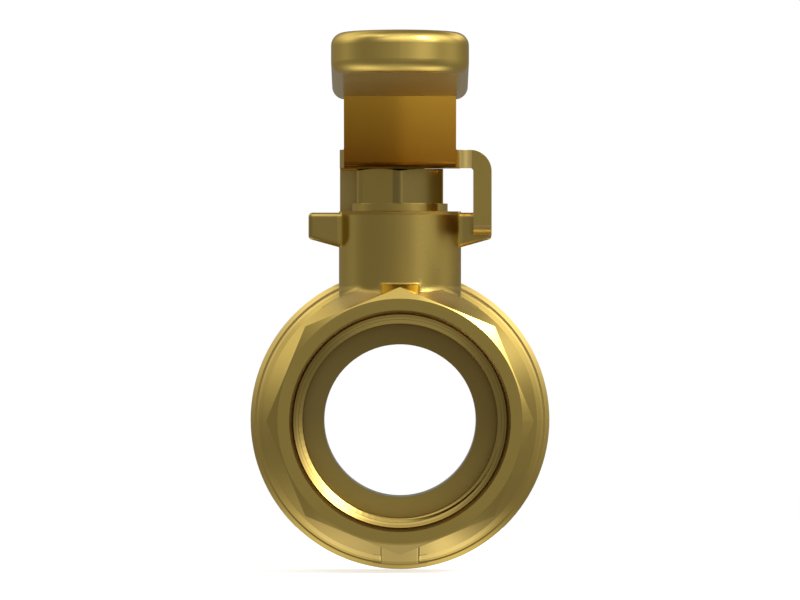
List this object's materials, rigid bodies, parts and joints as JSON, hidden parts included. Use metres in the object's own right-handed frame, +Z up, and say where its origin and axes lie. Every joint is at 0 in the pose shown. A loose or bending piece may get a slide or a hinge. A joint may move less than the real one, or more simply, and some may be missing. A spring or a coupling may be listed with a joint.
{
  "type": "threaded ball valve",
  "caption": "Full-bore brass ball valve with female pipe threads, octagon ends, a screwed end adapter and a quarter-turn lever with a moulded grip.",
  "frame": {"origin": "centre of the ball, where the pipe axis and the stem axis meet", "axes": "+Z up along the stem, +Y along the pipe axis towards the end adapter, the open lever points to -Y"},
  "size_m": [0.0494, 0.1349, 0.088],
  "materials": {
    "forged_brass": "satin machined forging",
    "turned_brass": "fine turned",
    "plated_ball": "polished plating",
    "seat_plastic": "waxy white",
    "seal_rubber": "smooth black",
    "lever_metal": "brass-coloured passivated steel",
    "grip_shell": "brass-coloured satin"
  },
  "bodies": {
    "valve_body": {"body": "forged_brass", "end_adapter": "forged_brass", "body_seal": "seat_plastic", "seat_front": "seat_plastic", "seat_rear": "seat_plastic", "thrust_washer": "seat_plastic", "packing_base_ring": "seat_plastic", "packing_vee_ring_1": "seat_plastic", "packing_vee_ring_2": "seat_plastic", "packing_vee_ring_3": "seat_plastic", "packing_top_ring": "seat_plastic", "gland_follower": "turned_brass", "gland_nut": "turned_brass"},
    "ball": {"ball": "plated_ball"},
    "handle": {"stem": "turned_brass", "stem_o_ring": "seal_rubber", "lever": "lever_metal", "lock_washer": "lever_metal", "lever_nut": "lever_metal", "grip": "grip_shell"}
  },
  "joints": [
    {"name": "handle_turn", "type": "hinge", "parent": "valve_body", "child": "handle", "pos_m": [0, 0, 0], "axis": [0, 0, 1], "range_deg": [-90, 0]},
    {"name": "ball_turn", "type": "hinge", "parent": "valve_body", "child": "ball", "pos_m": [0, 0, 0], "axis": [0, 0, 1], "range_deg": [-90, 0]}
  ],
  "couplings": [
    {"joint": "ball_turn", "follows": "handle_turn", "ratio": 1}
  ]
}
